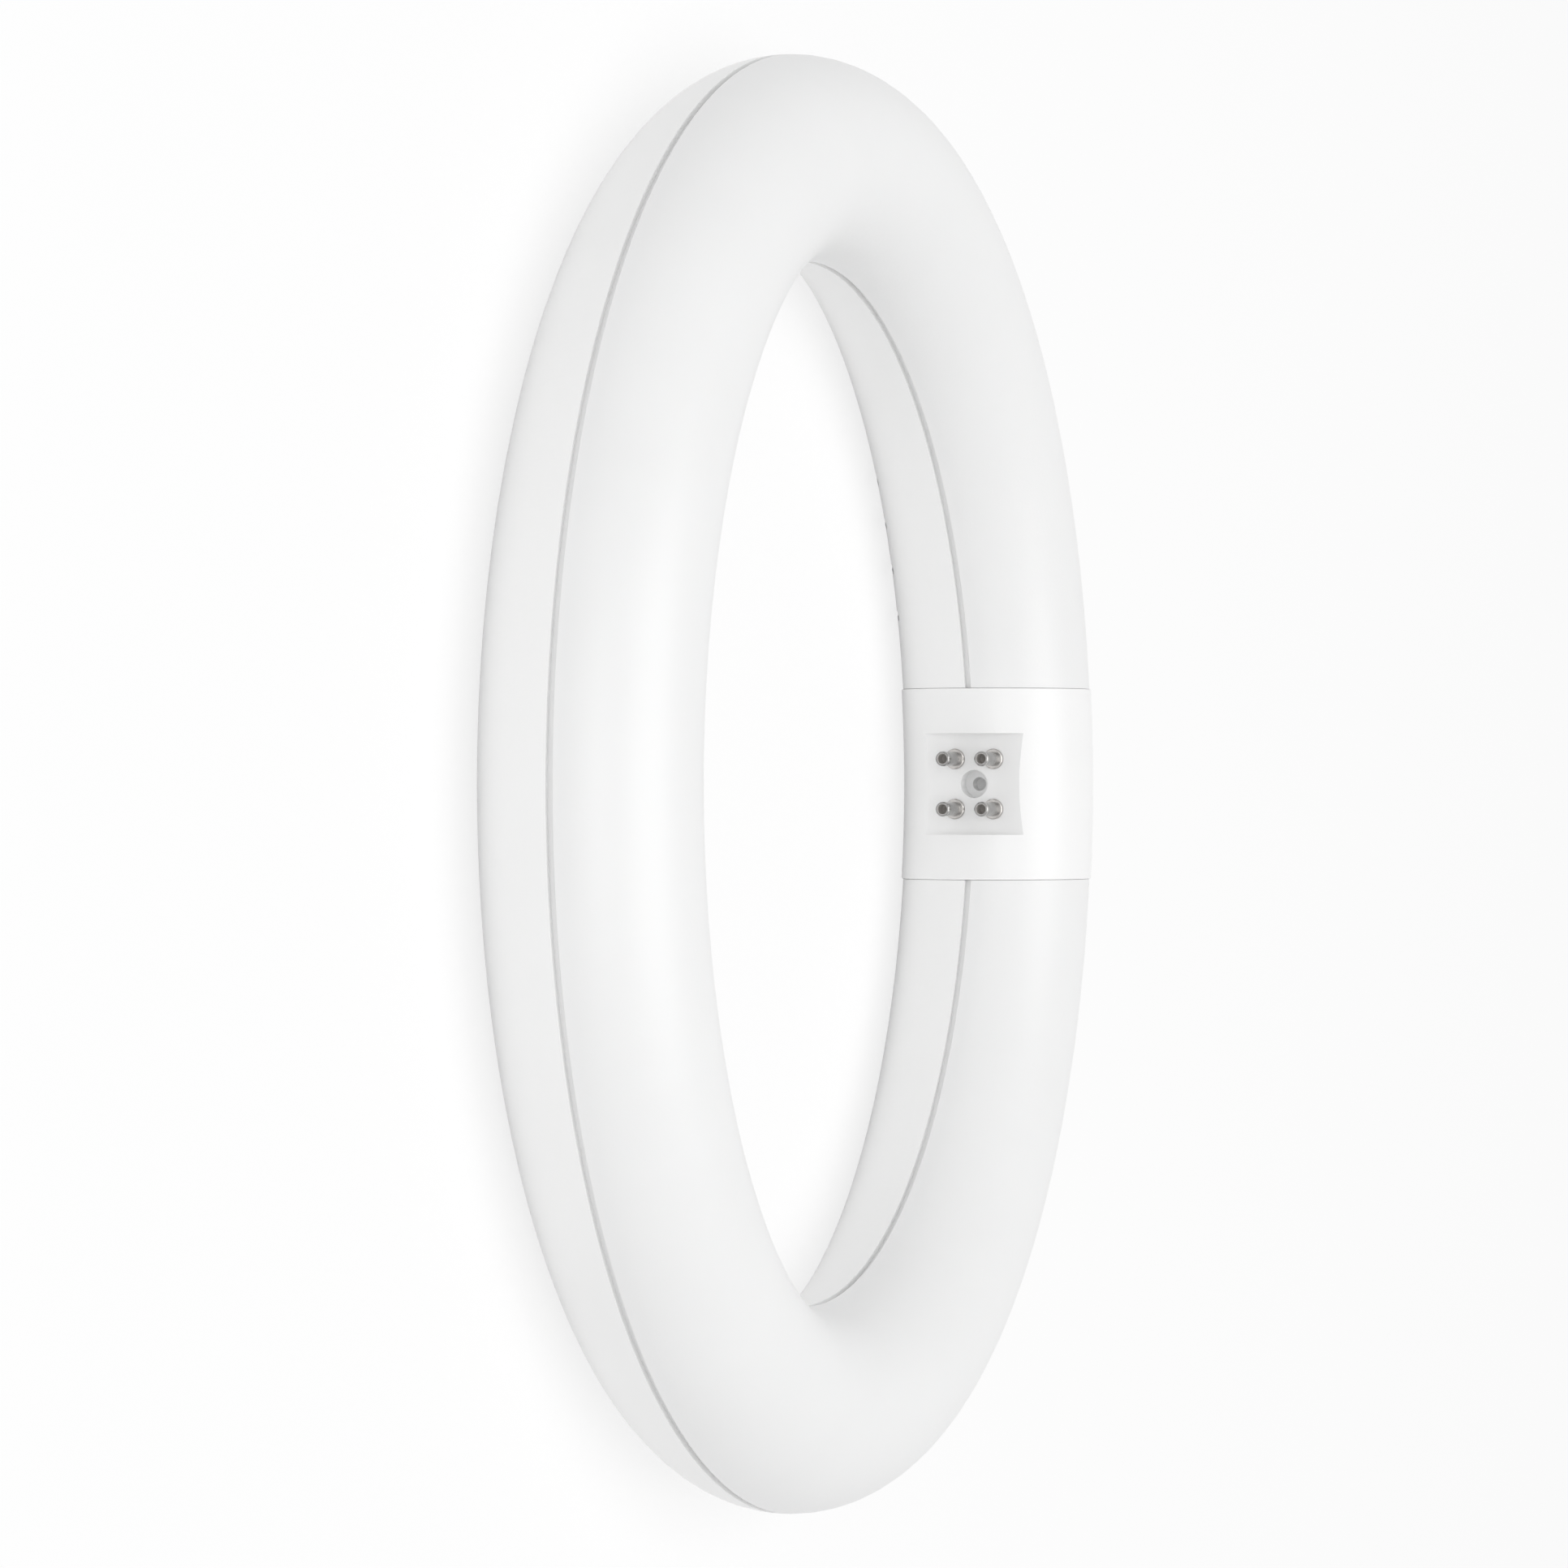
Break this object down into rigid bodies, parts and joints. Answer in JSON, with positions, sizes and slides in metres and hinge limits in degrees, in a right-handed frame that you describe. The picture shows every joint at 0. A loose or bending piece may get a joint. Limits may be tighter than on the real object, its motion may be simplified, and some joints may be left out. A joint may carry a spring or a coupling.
{
  "type": "circular led tube",
  "caption": "Ring-shaped LED lamp: a diffuser shell and a housing shell with an open seam between them, closed by a cap sleeve whose flat contact face carries hollow contact pins.",
  "frame": {"origin": "centre of the ring, on the middle plane of the tube", "axes": "+Z along the ring's axis, out of the lit face; +X from the centre towards the cap; the ring lies on its rear crown with the lit face up"},
  "size_m": [0.2113, 0.211, 0.0302],
  "materials": {
    "milky_plastic": "milky diffusing shell, satin",
    "white_plastic": "white moulded shell, satin",
    "cap_plastic": "white moulded cap, satin",
    "pin_plating": "bright nickel plating",
    "coated_aluminium": "white coated board metal",
    "led_resin": "yellow lamp resin in a white body",
    "zinc_steel": "zinc plated",
    "board_laminate": "green coated laminate",
    "clear_film": "thin insulating film",
    "moulded_resin": "black moulded resin",
    "resistor_lacquer": "lacquer",
    "capacitor_epoxy": "dipped epoxy",
    "capacitor_wrap": "shrunk sleeve",
    "ferrite": "pressed ferrite",
    "copper_winding": "enamelled wire",
    "bobbin_plastic": "moulded bobbin",
    "lead_red": "insulated lead",
    "lead_white": "insulated lead"
  },
  "bodies": {
    "root": {"front_diffuser": "milky_plastic", "rear_housing": "white_plastic", "cap_sleeve": "cap_plastic", "contact_pin_1": "pin_plating", "contact_pin_2": "pin_plating", "contact_pin_3": "pin_plating", "contact_pin_4": "pin_plating", "led_board": "coated_aluminium", "led_packages": "led_resin", "led_board_screws": "zinc_steel", "driver_board": "board_laminate", "driver_board_screws": "zinc_steel", "insulating_film": "clear_film", "fusible_resistor": "resistor_lacquer", "bridge_rectifier": "moulded_resin", "control_chip": "moulded_resin", "output_diode": "moulded_resin", "film_capacitor": "capacitor_epoxy", "filter_choke": "ferrite", "bulk_capacitor": "capacitor_wrap", "output_capacitor": "capacitor_wrap", "inductor_core": "ferrite", "inductor_bobbin": "bobbin_plastic", "inductor_winding": "copper_winding", "input_lead_1": "lead_white", "input_lead_2": "lead_white", "input_lead_3": "lead_white", "input_lead_4": "lead_white", "output_lead_inner": "lead_white", "output_lead_outer": "lead_red"}
  },
  "joints": []
}
